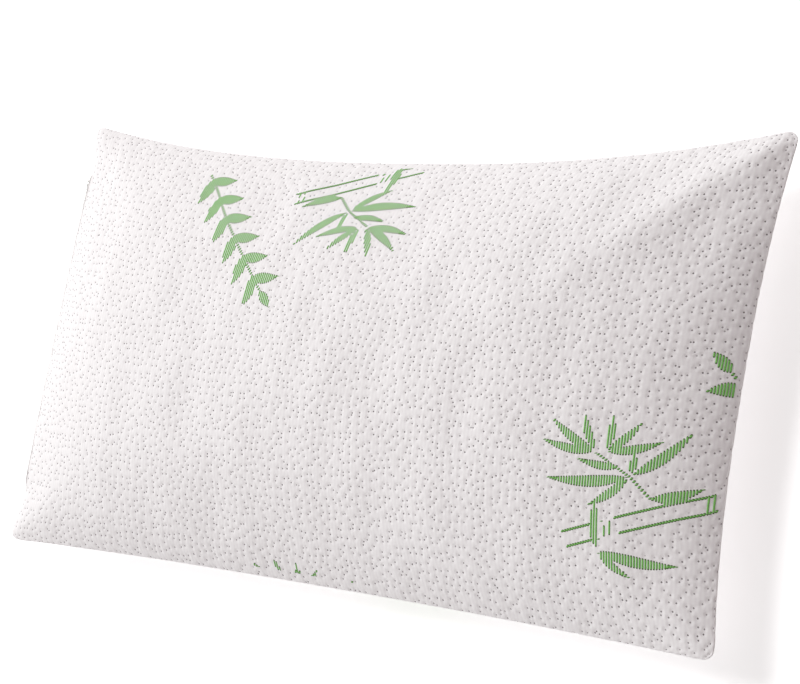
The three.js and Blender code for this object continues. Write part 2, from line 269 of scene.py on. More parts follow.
# Towards each corner the fill runs out along a soft ridge.
RIDGE_HEIGHT = 0.0065
RIDGE_HALF_WIDTH = 0.024
RIDGE_LENGTH = 0.09  # from the corner to where it is highest, both ways added
RIDGE_SLOPE = 0.8
corner_x = (1 - np.abs(s_grid)) * FLAT_WIDTH / 2
corner_y = (1 - np.abs(t_grid)) * FLAT_HEIGHT / 2
off_ridge = (corner_y - RIDGE_SLOPE * corner_x) / math.hypot(1, RIDGE_SLOPE)
ridge_reach = (corner_x + corner_y) / RIDGE_LENGTH
ridge_share = np.where((s_grid > 0) & (t_grid > 0), 1.0, 0.1)  # one corner holds more of the fill
ridge = np.exp(-((off_ridge / RIDGE_HALF_WIDTH) ** 2)) * ridge_reach * np.exp(1 - ridge_reach)
ridge *= RIDGE_HEIGHT * ridge_share

for panel, side in ((front, 1), (back, -1)):
    small_lumps = 0.7 * lumps(14, shortest=0.05, longest=0.13)
    large_lumps = 0.8 * lumps(6, shortest=0.16, longest=0.4)
    relief = LUMP_HEIGHT * smooth(edge_distance / LUMP_FADE) * (small_lumps + large_lumps)
    relief += PUCKER_HEIGHT * gathers(flat[..., 0], (1 - np.abs(t_grid)) * FLAT_HEIGHT / 2)
    relief += PUCKER_HEIGHT * gathers(flat[..., 1], (1 - np.abs(s_grid)) * FLAT_WIDTH / 2)
    panel[..., 2] += side * (relief + ridge * smooth(edge_distance / RIDGE_FADE))
    panel[..., 2] *= crown / (side * panel[..., 2]).max()


def above_floor(z, softness=0.005):
    """Keeps a height from going under 0, with a soft bend where the cloth meets the floor."""
    return softness * np.logaddexp(0, z / softness)


front[..., 2] += seam_height
back[..., 2] = above_floor(back[..., 2] + seam_height)

# ---------------------------------------------------------------- the leaves, laid out on the flat fabric
# The jacquard draws sprigs of long leaves on two-line stems, and between them garlands of paired leaves.
# Each is knitted in upright ribs of green yarn. The next sprig along is turned half a turn.

RIB_PITCH = 0.0026
RIB_WIDTH = 0.0019
RIB_RISE = 0.0005
LINE_WIDTH = 0.003  # of a stem's outline


def direction(angle):
    return np.array([math.cos(math.radians(angle)), math.sin(math.radians(angle))])


def leaf(base, angle, length, width, bend):
    """The outline of one pointed leaf; bend bows its middle sideways by that share of its length."""
    share = np.linspace(0, 1, 17)[:, None]
    along, across = direction(angle) * length, direction(angle + 90)
    middle = base + share * along + 4 * bend * length * share * (1 - share) * across
    half = width / 2 * np.sin(np.pi * share**0.8) ** 0.85
    return np.concatenate([middle + half * across, (middle - half * across)[::-1]])


def stroke(start, end, width=LINE_WIDTH):
    """The outline of a straight line."""
    start, end = np.array(start), np.array(end)
    along = (end - start) / np.linalg.norm(end - start)
    across = np.array([-along[1], along[0]]) * width / 2
    return np.array([start - across, end - across, end + across, start + across])


def star(centre, *leaves):
    """Leaves, each an angle and a length, that start a little way out from one point; their tips curl up."""
    outlines = []
    for angle, length in leaves:
        base = centre + 0.003 * direction(angle)
        width = 0.0050 + 0.085 * length
        bend = 0.05 if abs(angle) > 90 else -0.05
        outlines.append(leaf(base, angle, length, width, bend))
    return outlines


def sprig(foot):
    """A stem that rises to the right, with four stars of leaves; foot is its lower end."""
    foot = np.array(foot)
    rise = direction(21)
    over = np.array([-0.005, 0.0135])
    outlines = []
    for low, high in ((0.0, 0.034), (0.054, 0.150)):
        outlines.append(stroke(foot + low * rise, foot + high * rise))
        outlines.append(stroke(foot + over + low * rise, foot + over + high * rise))
    for joint in (0.040, 0.046, 0.138, 0.144):
        knuckle = foot + joint * rise
        outlines.append(stroke(knuckle, knuckle + over * (0.4, 1.1), 0.0022))
    first, second, third = foot + (0.024, 0.093), foot + (0.033, 0.094), foot + (0.059, 0.073)
    low_star = foot + (0.029, 0.0)
    stalk = foot + (0.079, 0.055)
    outlines += star(first, (147, 0.053), (171, 0.052), (111, 0.039))
    outlines += star(second, (84, 0.034), (46, 0.042), (17, 0.052))
    outlines += star(foot + (0.051, 0.081), (174, 0.042))
    outlines += star(third, (186, 0.080), (218, 0.048), (87, 0.022), (44, 0.068))
    outlines.append(leaf(stalk, 20, 0.048, 0.0105, -0.05))
    outlines.append(stroke(first, third, 0.002))
    outlines.append(stroke(third, stalk, 0.0022))
    outlines.append(stroke(stalk, foot + (0.096, 0.052), 0.002))
    outlines += star(low_star, (-32, 0.036), (-2, 0.075), (91, 0.046))
    return outlines


def garland(start, angle, length):
    """Broad leaves in pairs along a thin stalk."""
    start = np.array(start)
    pairs = 6
    stalk = length * direction(angle)
    outlines = [stroke(start, start + stalk, 0.0024)]
    for number in range(pairs):
        base = start + (number + 0.3) / pairs * stalk
        outlines.append(leaf(base, angle + 50, 0.036, 0.0145, -0.07))
        outlines.append(leaf(base, angle - 50, 0.036, 0.0145, 0.07))
    outlines.append(leaf(start + stalk, angle, 0.026, 0.012, 0))
    return outlines


HALF_REPEAT = np.array([0.1775, 0.0415])  # the point about which a sprig turns into the next
SPRIG_FOOT = (0.314, -0.167)
GARLAND_START = (-0.236, 0.214)
REPEAT_STEP = np.array([-0.372, -0.194])


def turned(outlines):
    return [2 * HALF_REPEAT - outline for outline in outlines]


upright = sprig(SPRIG_FOOT)
beside = garland(GARLAND_START, -45, 0.205)
front_leaves = upright + turned(upright) + beside + turned(beside)
front_leaves += [outline + REPEAT_STEP for outline in upright]
# The back is cut from the same cloth, a little further along the roll.
back_leaves = [outline * (-1, 1) + (0.06, 0.03) for outline in front_leaves]


def crossings(outline, x):
    """The heights at which an upright line crosses an outline."""
    start, end = outline, np.roll(outline, -1, axis=0)
    hit = (start[:, 0] <= x) != (end[:, 0] <= x)
    share = (x - start[hit, 0]) / (end[hit, 0] - start[hit, 0])
    return np.sort(start[hit, 1] + share * (end[hit, 1] - start[hit, 1]))


SEAM_MARGIN = 0.011  # of the cloth beside the seam, left plain
SHORTEST_RIB = 0.0008
RIB_GAP = 0.0006  # ribs closer than this run into each other


def ribs_of(outlines):
    """The ribs that fill the outlines: (x, low, high), joined where leaves lie over each other."""
    ribs = []
    reach = int(FLAT_WIDTH / 2 / RIB_PITCH) - 2
    limit = FLAT_HEIGHT / 2 - SEAM_MARGIN
    for column in range(-reach, reach + 1):
        x = column * RIB_PITCH
        spans = []
        for outline in outlines:
            heights = crossings(outline, x)
            pairs = zip(heights[::2], heights[1::2])
            spans += [(low, high) for low, high in pairs if high - low > SHORTEST_RIB]
        inside = [(low, high) for low, high in spans if low < limit and high > -limit]
        merged = []
        for low, high in sorted((max(low, -limit), min(high, limit)) for low, high in inside):
            if merged and low < merged[-1][1] + RIB_GAP:
                merged[-1][1] = max(merged[-1][1], high)
            else:
                merged.append([low, high])
        ribs += [(x, low, high) for low, high in merged]
    return ribs


RIB_END = 0.0013  # the dark stitch that closes each rib
RIB_STEP = 0.006
SHORT_RIB = 0.005
SHORT_RIB_SLANT = 0.0016  # short ribs lean, so that thin lines read as a twisted rope


def rib_mesh(name, outlines):
    """All ribs on the flat cloth, measured from its corner, as low arched strips.

    An attribute marks their dark ends.
    """
    points, faces, dark = [], [], []
    for x, low, high in ribs_of(outlines):
        short = high - low < SHORT_RIB
        slant = SHORT_RIB_SLANT if short else 0.0
        full_width = RIB_PITCH if short else RIB_WIDTH
        end = min(RIB_END, (high - low) * 0.3)
        inner = np.linspace(low + end, high - end, 2 + int((high - low) / RIB_STEP))
        heights = np.concatenate([[low, low + end * 0.9], inner, [high - end * 0.9, high]])
        first = len(points)
        for number, y in enumerate(heights):
            at_end = number in (0, len(heights) - 1)
            rise = 0.0 if at_end else RIB_RISE
            half = full_width * (0.35 if at_end else 0.5)
            lean = x + slant * ((y - low) / (high - low) - 0.5)
            points += [(lean + share * half, y, rise * (abs(share) < 1)) for share in (-1, -0.5, 0.5, 1)]
            dark += [float(number < 2 or number > len(heights) - 3)] * 4
        faces += (first + grid_faces(len(heights) - 1, 3)[:, ::-1]).tolist()
    made = mesh_object(name, np.array(points) + (FLAT_WIDTH / 2, FLAT_HEIGHT / 2, 0), faces)
    made.data.attributes.new("dark", "FLOAT", "POINT").data.foreach_set("value", dark)
    return made


# ---------------------------------------------------------------- cover panels
# Air-layer jacquard knit of white polyester and viscose, tied down at scattered points into small puffs.
# The ties sink the cloth into small pits, whose shade is painted as grey pin dots. The knit is matte, with
# fine upright wales; no dots lie in the leaves.

PUFF_SIZE = 0.0081
PUFF_DEPTH = 0.0005
PUFF_SCATTER = 0.8
PIT_SHADE_RADIUS = 0.12  # share of the puff size
CLEAR_HALO = 0.0035
WALE_PITCH = 0.0044  # drawn coarser than the real 0.9 mm, which would be too fine to show


def linear(colour):
    """An sRGB hex colour as linear RGBA."""
    parts = [int(colour[i : i + 2], 16) / 255 for i in (0, 2, 4)]
    return (*[p / 12.92 if p <= 0.04045 else ((p + 0.055) / 1.055) ** 2.4 for p in parts], 1)


def set_inputs(tree, node, inputs):
    """Sets a node's inputs. Each is a value, or an output of another node that is linked to it."""
    for key, value in inputs.items():
        if isinstance(value, bpy.types.NodeSocket):
            tree.links.new(value, node.inputs[key])
        else:
            node.inputs[key].default_value = value


def add_node(tree, kind, inputs=None, **settings):
    """Adds a node with its settings and inputs."""
    node = tree.nodes.new(kind)
    for key, value in settings.items():
        setattr(node, key, value)
    set_inputs(tree, node, inputs or {})
    return node


def new_material(name):
    """A material with its tree and its shader node."""
    made = bpy.data.materials.new(name)
    made.use_nodes = True
    return made, made.node_tree, made.node_tree.nodes["Principled BSDF"]


STRAIGHT_BAND = math.pi / 10  # a wave texture's band at scale 1, along an axis
SLANTED_BAND = math.pi / 5  # the same for diagonal bands, measured as x + y + z


def even_texture(name, texture, pattern, tones, relief, look, **settings):
    """A material of one fine texture in the object's own space.

    Its factor sets the tone between two colours, and the relief as (strength, distance).
    """
    made, tree, shader = new_material(name)
    place = add_node(tree, "ShaderNodeTexCoord").outputs["Object"]
    grain = add_node(tree, texture, {"Vector": place, **pattern}, **settings).outputs["Fac"]
    mix = {"Factor": grain, 6: linear(tones[0]), 7: linear(tones[1])}
    colour = add_node(tree, "ShaderNodeMix", mix, data_type="RGBA").outputs[2]
    set_inputs(tree, shader, {"Base Color": colour, **look})
    if relief:
        bump = {"Strength": relief[0], "Distance": relief[1], "Height": grain}
        set_inputs(tree, shader, {"Normal": add_node(tree, "ShaderNodeBump", bump).outputs[0]})
    return made


PATTERN = "pattern"  # the UV map that holds each point's place on the flat cloth, in metres

knit, tree, shader = new_material("air-layer jacquard knit")
place = add_node(tree, "ShaderNodeUVMap", uv_map=PATTERN).outputs[0]
puff_inputs = {"Vector": place, "Scale": 1 / PUFF_SIZE, "Randomness": PUFF_SCATTER}
puffs = add_node(tree, "ShaderNodeTexVoronoi", puff_inputs, voronoi_dimensions="2D")
# Each dot of painted pit shade has a soft edge, and in patches the dots are fainter.
pit_shade_edge_range = {"From Min": PIT_SHADE_RADIUS * 0.55, "From Max": PIT_SHADE_RADIUS * 1.15, "To Min": 1, "To Max": 0}
pit_shade_edge_range["Value"] = puffs.outputs["Distance"]
pit_shade_edge = add_node(tree, "ShaderNodeMapRange", pit_shade_edge_range, interpolation_type="SMOOTHSTEP")
clear = add_node(tree, "ShaderNodeAttribute", attribute_name="clear").outputs["Fac"]
pit_shade = add_node(tree, "ShaderNodeMath", {0: pit_shade_edge.outputs[0], 1: clear}, operation="MULTIPLY")
patches = add_node(tree, "ShaderNodeTexNoise", {"Vector": place, "Scale": 60, "Detail": 2})
faint_range = {"Value": patches.outputs[0], "From Min": 0.3, "From Max": 0.6, "To Min": 0.55}
faintness = add_node(tree, "ShaderNodeMapRange", faint_range)
pit_shade_factors = {0: pit_shade.outputs[0], 1: faintness.outputs[0]}
pit_shade_strength = add_node(tree, "ShaderNodeMath", pit_shade_factors, operation="MULTIPLY")
wale_scale = STRAIGHT_BAND / WALE_PITCH
wale_settings = {"Vector": place, "Scale": wale_scale, "Distortion": 1.2, "Detail": 1, "Detail Scale": 2}
wales = add_node(tree, "ShaderNodeTexWave", wale_settings)
whites = {"Factor": wales.outputs["Fac"], 6: linear("F0EDEE"), 7: linear("F5F3F3")}
shade = add_node(tree, "ShaderNodeMix", whites, data_type="RGBA")
# The grey of the dots is painted shade of the tie pits, mixed over the white knit.
pit_shaded = {"Factor": pit_shade_strength.outputs[0], 6: shade.outputs[2], 7: linear("6E6769")}
colour = add_node(tree, "ShaderNodeMix", pit_shaded, data_type="RGBA")
puff_range = {"Value": puffs.outputs["Distance"], "From Max": 0.5}
puff_height = add_node(tree, "ShaderNodeMapRange", puff_range, interpolation_type="SMOOTHSTEP")
fuzz = add_node(tree, "ShaderNodeTexNoise", {"Vector": place, "Scale": 700, "Detail": 3})
fine = add_node(tree, "ShaderNodeMath", {0: wales.outputs["Fac"], 1: fuzz.outputs[0]}, operation="ADD")
fine_relief = {"Strength": 0.12, "Distance": 0.0002, "Height": fine.outputs[0]}
fine_bump = add_node(tree, "ShaderNodeBump", fine_relief)
puff_relief = {"Strength": 0.5, "Distance": 0.0008, "Normal": fine_bump.outputs[0]}
puff_relief["Height"] = puff_height.outputs[0]
puff_bump = add_node(tree, "ShaderNodeBump", puff_relief)
knit_look = {"Roughness": 0.9, "Sheen Weight": 0.03, "Specular IOR Level": 0.25}
set_inputs(tree, shader, {"Base Color": colour.outputs[2], "Normal": puff_bump.outputs[0], **knit_look})

yarn, tree, shader = new_material("dyed polyester jacquard yarn")
ends = add_node(tree, "ShaderNodeAttribute", attribute_name="dark").outputs["Fac"]
object_place = add_node(tree, "ShaderNodeTexCoord").outputs["Object"]
blotches = add_node(tree, "ShaderNodeTexNoise", {"Vector": object_place, "Scale": 300})
greens = {"Factor": blotches.outputs[0], 6: linear("5FA845"), 7: linear("8BCB6C")}
green = add_node(tree, "ShaderNodeMix", greens, data_type="RGBA")
ended = {"Factor": ends, 6: green.outputs[2], 7: linear("4C6A33")}
colour = add_node(tree, "ShaderNodeMix", ended, data_type="RGBA")
set_inputs(tree, shader, {"Base Color": colour.outputs[2], "Roughness": 0.65})

LIP_TURN = 0.0024  # how far the cloth turns in at the seam
LIP_DEPTH = 0.0005


def panel_mesh(name, grid, side):
    """One cover panel with its turned edge, smoothed, with the flat cloth's coordinates as UV."""
    points, places = grid.reshape(-1, 3), flat.reshape(-1, 3)
    inward = -np.stack([rim_s, rim_t, rim_s * 0], axis=1)
    lip = points[rim] + LIP_TURN * inward
    lip[:, 2] += np.clip(seam_height - lip[:, 2], -LIP_DEPTH, LIP_DEPTH)
    lip_place = places[rim] - LIP_TURN * inward
    count = len(points)
    number = np.arange(len(rim))
    strip = np.stack([rim, count + number, count + np.roll(number, -1), np.roll(rim, -1)], axis=-1)
    faces = np.concatenate([grid_faces(COLUMNS, ROWS), strip])[:, ::side]
    made = mesh_object(name, np.concatenate([points, lip]), faces)
    every_place = np.concatenate([places, lip_place])[:, :2] + (FLAT_WIDTH / 2, FLAT_HEIGHT / 2)
    uv = made.data.uv_layers.new(name=PATTERN)
    uv.data.foreach_set("uv", every_place[faces.ravel()].astype(np.float32).ravel())
    rounded_off(made, 2)
    return applied(made, name)


def node_group(name, **inputs):
    """A geometry tree with a Geometry input and output and the named inputs, and its input sockets."""
    group = bpy.data.node_groups.new(name, "GeometryNodeTree")
    group.interface.new_socket("Geometry", in_out="INPUT", socket_type="NodeSocketGeometry")
    for label, kind in inputs.items():
        group.interface.new_socket(label, in_out="INPUT", socket_type=kind)
    group.interface.new_socket("Geometry", in_out="OUTPUT", socket_type="NodeSocketGeometry")
    return group, group.nodes.new("NodeGroupInput").outputs


def end_group(group, geometry):
    """Ends a tree in Realize Instances."""
    real = add_node(group, "GeometryNodeRealizeInstances", {"Geometry": geometry})
    add_node(group, "NodeGroupOutput", {"Geometry": real.outputs[0]})


def with_nodes(source, name, group, **values):
    """The source after a geometry tree, as a plain mesh object; values are the tree's named inputs."""
    modifier = source.modifiers.new(group.name, "NODES")
    modifier.node_group = group
    for item in group.interface.items_tree:
        if item.in_out == "INPUT" and item.name in values:
            modifier[item.identifier] = values[item.name]
    return applied(source, name)


group, given = node_group(
    "quilt and leaves",
    Ribs="NodeSocketObject",
    Puff="NodeSocketFloat",
    Depth="NodeSocketFloat",
    Halo="NodeSocketFloat",
)
place_node = add_node(group, "GeometryNodeInputNamedAttribute", {"Name": PATTERN}, data_type="FLOAT_VECTOR")
place = place_node.outputs[0]
ribs = add_node(group, "GeometryNodeObjectInfo", {"Object": given["Ribs"]}).outputs["Geometry"]
near = add_node(group, "GeometryNodeProximity", {0: ribs, "Sample Position": place}, target_element="FACES")
halo = {"Value": near.outputs["Distance"], "From Min": 0.0015, "From Max": given["Halo"]}
clearing = add_node(group, "ShaderNodeMapRange", halo, interpolation_type="SMOOTHSTEP")
marking = {"Geometry": given["Geometry"], "Name": "clear", "Value": clearing.outputs[0]}
marked = add_node(group, "GeometryNodeStoreNamedAttribute", marking, data_type="FLOAT")
scale = add_node(group, "ShaderNodeMath", {0: 1.0, 1: given["Puff"]}, operation="DIVIDE")
puff_inputs = {"Vector": place, "Scale": scale.outputs[0], "Randomness": PUFF_SCATTER}
puffs = add_node(group, "ShaderNodeTexVoronoi", puff_inputs, voronoi_dimensions="2D")
rising = {"Value": puffs.outputs["Distance"], "From Max": 0.55}
risen = add_node(group, "ShaderNodeMapRange", rising, interpolation_type="SMOOTHSTEP")
sunk = add_node(group, "ShaderNodeMath", {0: risen.outputs[0], 1: 1.0}, operation="SUBTRACT")
sunk = add_node(group, "ShaderNodeMath", {0: sunk.outputs[0], 1: clearing.outputs[0]}, operation="MULTIPLY")
sunk = add_node(group, "ShaderNodeMath", {0: sunk.outputs[0], 1: given["Depth"]}, operation="MULTIPLY")
normal = add_node(group, "GeometryNodeInputNormal").outputs[0]
offset = add_node(group, "ShaderNodeVectorMath", {0: normal, "Scale": sunk.outputs[0]}, operation="SCALE")
quilting = {"Geometry": marked.outputs[0], "Offset": offset.outputs[0]}
quilted = add_node(group, "GeometryNodeSetPosition", quilting)
painted = add_node(group, "GeometryNodeSetMaterial", {"Geometry": quilted.outputs[0], "Material": knit})
spot = add_node(group, "GeometryNodeInputPosition").outputs[0]
height = add_node(group, "ShaderNodeSeparateXYZ", {0: spot}).outputs["Z"]
found = []
for value in (spot, normal):
    sampling = {"Mesh": given["Geometry"], "Value": value, "UV Map": place, "Sample UV": spot}
    sample = add_node(group, "GeometryNodeSampleUVSurface", sampling, data_type="FLOAT_VECTOR")
    found.append(sample.outputs["Value"])
lifted = add_node(group, "ShaderNodeVectorMath", {0: found[1], "Scale": height}, operation="SCALE")
laid = add_node(group, "ShaderNodeVectorMath", {0: found[0], 1: lifted.outputs[0]})
on_cloth = add_node(group, "GeometryNodeSetPosition", {"Geometry": ribs, "Position": laid.outputs[0]})
dyed = add_node(group, "GeometryNodeSetMaterial", {"Geometry": on_cloth.outputs[0], "Material": yarn})
both = add_node(group, "GeometryNodeJoinGeometry")
group.links.new(dyed.outputs[0], both.inputs[0])
group.links.new(painted.outputs[0], both.inputs[0])
end_group(group, both.outputs[0])


def fitted(piece, body, node):
    """Puts a piece on its body and in place of its CAD node."""
    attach(piece, body)
    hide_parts(node)


for name, grid, side, outlines in (
    ("cover_front", front, 1, front_leaves),
    ("cover_back", back, -1, back_leaves),
):
    ribs_object = rib_mesh(name + "_ribs", outlines)
    quilt = {"Ribs": ribs_object, "Puff": PUFF_SIZE, "Depth": PUFF_DEPTH, "Halo": CLEAR_HALO}
    piece = with_nodes(panel_mesh(name, grid, side), name, group, **quilt)
    bpy.data.objects.remove(ribs_object)
    fitted(piece, "pillow", name + "_panel")
    case = "case_front" if side == 1 else "case_back"

# ---------------------------------------------------------------- cover seam
# The raw edges of both panels are held together inside the cover by a three-thread overlock.
# Spun polyester thread, white and slightly fuzzy; it runs round to both ends of the zipper.

OVERLOCK_OUTER, OVERLOCK_INNER = 0.0015, 0.008  # inside the turned seam
OVERLOCK_PITCH = 0.003
ALLOWANCE_THICKNESS = 0.0005
THREAD_RADIUS = 0.00022

TWIST_PITCH = 0.0007
thread = even_texture(
    "spun polyester sewing thread",
    "ShaderNodeTexWave",
    {"Scale": SLANTED_BAND / TWIST_PITCH, "Distortion": 1},
    tones=("E4E2DF", "FAF9F7"),
    relief=None,
    look={"Roughness": 0.7, "Sheen Weight": 0.2},
    bands_direction="DIAGONAL",
)


def seam_loop(inset, setback=0.0):
    """The seam line as a loop, moved in by inset; setback is how far inside the cover's seam a case lies."""
    x = plan_x.ravel()[rim] * (1 - setback / half_width) - inset * rim_s
    y = plan_y.ravel()[rim] * (1 - setback / half_height) - inset * rim_t
    return np.stack([x, y, np.full_like(x, seam_height)], axis=1)


def skinned(name, rings, smooth_shaded=True):
    """A closed solid through rings of points, one behind the other."""
    count, sides = rings.shape[:2]
    near = sides * np.arange(count - 1)[:, None]
    side = np.arange(sides)[None, :]
    after = (side + 1) % sides
    walls = [near + side, near + after, near + sides + after, near + sides + side]
    faces = np.stack(walls, axis=-1).reshape(-1, 4).tolist()
    last = sides * (count - 1)
    faces += [list(range(sides))[::-1], list(range(last, last + sides))]
    return mesh_object(name, rings, np.array(faces, dtype=object), smooth_shaded)


def ribbon(name, outer, inner, thickness):
    """A flat closed strip between two lines."""
    lift = np.array([0, 0, thickness / 2])
    rings = np.stack([outer + lift, inner + lift, inner - lift, outer - lift], axis=1)
    return skinned(name, rings, smooth_shaded=False)


def tube(name, path, radius, sides=6):
    """A closed tube of thread or wire along a path."""
    path = np.array(path, float)
    tangent = np.gradient(path, axis=0)
    tangent /= np.linalg.norm(tangent, axis=1)[:, None]
    first_across = np.cross(tangent, (0.31, 0.17, 0.93))
    first_across /= np.linalg.norm(first_across, axis=1)[:, None]
    second_across = np.cross(tangent, first_across)
    turn = np.linspace(0, 2 * np.pi, sides, endpoint=False)[None, :, None]
    around = np.cos(turn) * first_across[:, None] + np.sin(turn) * second_across[:, None]
    return skinned(name, path[:, None] + radius * around)


def line_object(name, points):
    """A line of points and edges, for stitches to follow."""
    mesh = bpy.data.meshes.new(name)
    edges = [(number, number + 1) for number in range(len(points) - 1)]
    mesh.from_pydata(np.asarray(points).tolist(), edges, [])
    made = bpy.data.objects.new(name, mesh)
    bpy.context.scene.collection.objects.link(made)
    return made


along_group, given = node_group(
    "repeat along a line",
    Unit="NodeSocketObject",
    Base="NodeSocketObject",
    Pitch="NodeSocketFloat",
    Material="NodeSocketMaterial",
)
line = add_node(along_group, "GeometryNodeMeshToCurve", {"Mesh": given["Geometry"]})
spacing = {"Curve": line.outputs[0], "Length": given["Pitch"]}
spaced = add_node(along_group, "GeometryNodeCurveToPoints", spacing, mode="LENGTH")
tangent = {"Vector": spaced.outputs["Tangent"]}
heading = add_node(along_group, "FunctionNodeAlignRotationToVector", tangent, axis="X", pivot_axis="Z")
unit = add_node(along_group, "GeometryNodeObjectInfo", {"Object": given["Unit"]})
repeating = {"Points": spaced.outputs["Points"], "Instance": unit.outputs["Geometry"]}
repeating["Rotation"] = heading.outputs[0]
repeated = add_node(along_group, "GeometryNodeInstanceOnPoints", repeating)
base = add_node(along_group, "GeometryNodeObjectInfo", {"Object": given["Base"]})
real = add_node(along_group, "GeometryNodeRealizeInstances", {"Geometry": repeated.outputs[0]})
both = add_node(along_group, "GeometryNodeJoinGeometry")
along_group.links.new(real.outputs[0], both.inputs[0])
along_group.links.new(base.outputs["Geometry"], both.inputs[0])
finishing = {"Geometry": both.outputs[0], "Material": given["Material"]}
finished = add_node(along_group, "GeometryNodeSetMaterial", finishing)
end_group(along_group, finished.outputs[0])


def overlocked(name, node, order, setback, outer, inner):
    """A strip of seam allowance with overlock stitches over it, along the seam points in this order."""
    outer_line, inner_line = (seam_loop(inset, setback)[order] for inset in (outer, inner))
    strip = ribbon("strip", outer_line, inner_line, ALLOWANCE_THICKNESS)
    half = (inner - outer) / 2
    slant, low, high = 0.001, 0.0003, 0.0006
    over = [(-slant, -half, low), (0, -half / 2, high), (0.4 * slant, half / 2, high), (slant, half, low)]
    under = [(slant, half, -low), (0.6 * slant, 0, -high), (slant, -half, -low)]
    stitch = tube("stitch", over + under, THREAD_RADIUS, sides=4)
    middle = line_object("middle", seam_loop((outer + inner) / 2, setback)[order])
    sewing = {"Unit": stitch, "Base": strip, "Pitch": OVERLOCK_PITCH}
    made = with_nodes(middle, name, along_group, **sewing, Material=thread)
    bpy.data.objects.remove(strip)
    bpy.data.objects.remove(stitch)
    fitted(made, "pillow", node)


PAST_THE_ZIPPER = 0.006  # where the overlock starts, beyond the zipper's ends
overlock_start = zipper_half + PAST_THE_ZIPPER
open_part = np.flatnonzero((rim_s < 0) & (np.abs(plan_y.ravel()[rim]) < overlock_start))
closed_order = np.roll(np.arange(len(rim)), -open_part[-1] - 1)[: len(rim) - len(open_part)]
overlocked("cover_overlock", "cover_seam_thread", closed_order, 0.0, OVERLOCK_OUTER, OVERLOCK_INNER)

# ---------------------------------------------------------------- zipper tapes
# Two woven polyester tapes, upright where they carry the coil and turned back under the panels.
# White and matte, with a fine herringbone.

TAPE_THICKNESS = 0.0006
TAPE_ROWS = 90

WEAVE_PITCH = 0.0015  # drawn coarser than the real 0.5 mm
tape_weave = even_texture(
    "woven polyester zipper tape",
    "ShaderNodeTexWave",
    {"Scale": SLANTED_BAND / WEAVE_PITCH, "Distortion": 0.5},
    tones=("DDDCD9", "F5F4F1"),
    relief=(0.4, 0.0002),
    look={"Roughness": 0.85},
    bands_direction="DIAGONAL",
)

TAPE_HEIGHTS = (0.0016, 0.0035, 0.0055)  # of the upright part, off the seam line
TAPE_REACHES = (0.0045, 0.0085, 0.0115)  # of the turned part, in from the panel's edge
TAPE_BEHIND = (0.0022, 0, 0.0016)  # the turned part under the panel's surface
TAIL_DROP = 0.0013  # brings the tapes' inner edges together
TAPE_TAIL = 0.018  # of tape beyond the CAD tape's ends, tucked under the seam
TAIL_CLOSING = 0.010  # over which the tapes' inner edges meet beyond the stops
tape_y = np.linspace(tape_low.y - TAPE_TAIL, tape_high.y + TAPE_TAIL, TAPE_ROWS + 1)
stop_low, stop_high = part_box("zipper_bottom_stop")[0].y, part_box("zipper_top_stop_front")[1].y
closing = smooth((tape_y - stop_high) / TAIL_CLOSING) + smooth((stop_low - tape_y) / TAIL_CLOSING)


def beside_zipper(panel, distance, y):
    """Points on a cover panel this far in from its zipper edge, at the heights y along the zipper."""
    edge, after = panel[0], panel[1]
    share = distance / np.linalg.norm(after - edge, axis=1)
    line = edge + share[:, None] * (after - edge)
    x, z = (np.interp(y, line[:, 1], line[:, axis]) for axis in (0, 2))
    return np.stack([x, y, z], axis=1)


for end, panel, side in (("front", front, 1), ("back", back, -1)):
    name = "tape_" + end
    face = tape_low.x + TAPE_THICKNESS / 2
    lines = []
    for height in TAPE_HEIGHTS:
        level = seam_height + side * (height - TAIL_DROP * closing)
        lines.append(np.stack([tape_y * 0 + face, tape_y, level], axis=1))
    for distance in TAPE_REACHES:
        lines.append(beside_zipper(panel, distance, tape_y) + np.array(TAPE_BEHIND) * (1, 1, -side))
    cloth = mesh_object(name, np.array(lines), grid_faces(len(lines) - 1, TAPE_ROWS)[:, ::side])
    thickened(cloth, TAPE_THICKNESS)
    rounded_off(cloth, 1)
    piece = applied(cloth, name)
    piece.data.materials.append(tape_weave)
    fitted(piece, "pillow", "zipper_" + name)

# ---------------------------------------------------------------- zipper stitching
# One row of lockstitch each side holds the turned panel edge to its tape.
# The same white thread, in short separate stitches half sunk in the cloth.

STITCH_PITCH = 0.0032
STITCH_INSET = 0.0034
STITCH_SHARE = 0.42  # half a stitch's length, as a share of the pitch
STITCH_RADIUS = 0.00036
STITCH_MARGIN = 0.003  # from the tape's ends

ROW_POINTS = 120
stitch_y = np.linspace(tape_low.y + STITCH_MARGIN, tape_high.y - STITCH_MARGIN, ROW_POINTS)
for end, panel, side in (("front", front, 1), ("back", back, -1)):
    name = "stitching_" + end
    row = beside_zipper(panel, STITCH_INSET, stitch_y) + (-0.0004, 0, side * 0.0003)
    straight = [(share * STITCH_PITCH * STITCH_SHARE, 0, 0) for share in (-1, -0.6, 0, 0.6, 1)]
    stitch = tube("stitch", straight, STITCH_RADIUS)
    row_line = line_object("row", row)
    piece = with_nodes(row_line, name, along_group, Unit=stitch, Pitch=STITCH_PITCH, Material=thread)
    bpy.data.objects.remove(stitch)
    fitted(piece, "pillow", "zipper_" + name)

# ---------------------------------------------------------------- zipper coils
# Nylon monofilament wound into a flat coil and woven to each tape; the turns of the two halves lock.
# White, slightly translucent and semi-gloss.

TURN_PITCH = 0.0016
FILAMENT_RADIUS = 0.00032
COIL_HALF_WIDTH = 0.00165
COIL_OFFSET = 0.0014  # of each coil's axis from the seam line
COIL_SPREAD = 0.00115  # how much further apart the coils pass the slider's neck
SPREAD_LENGTH = 0.004
CHAIN_POINTS = 260

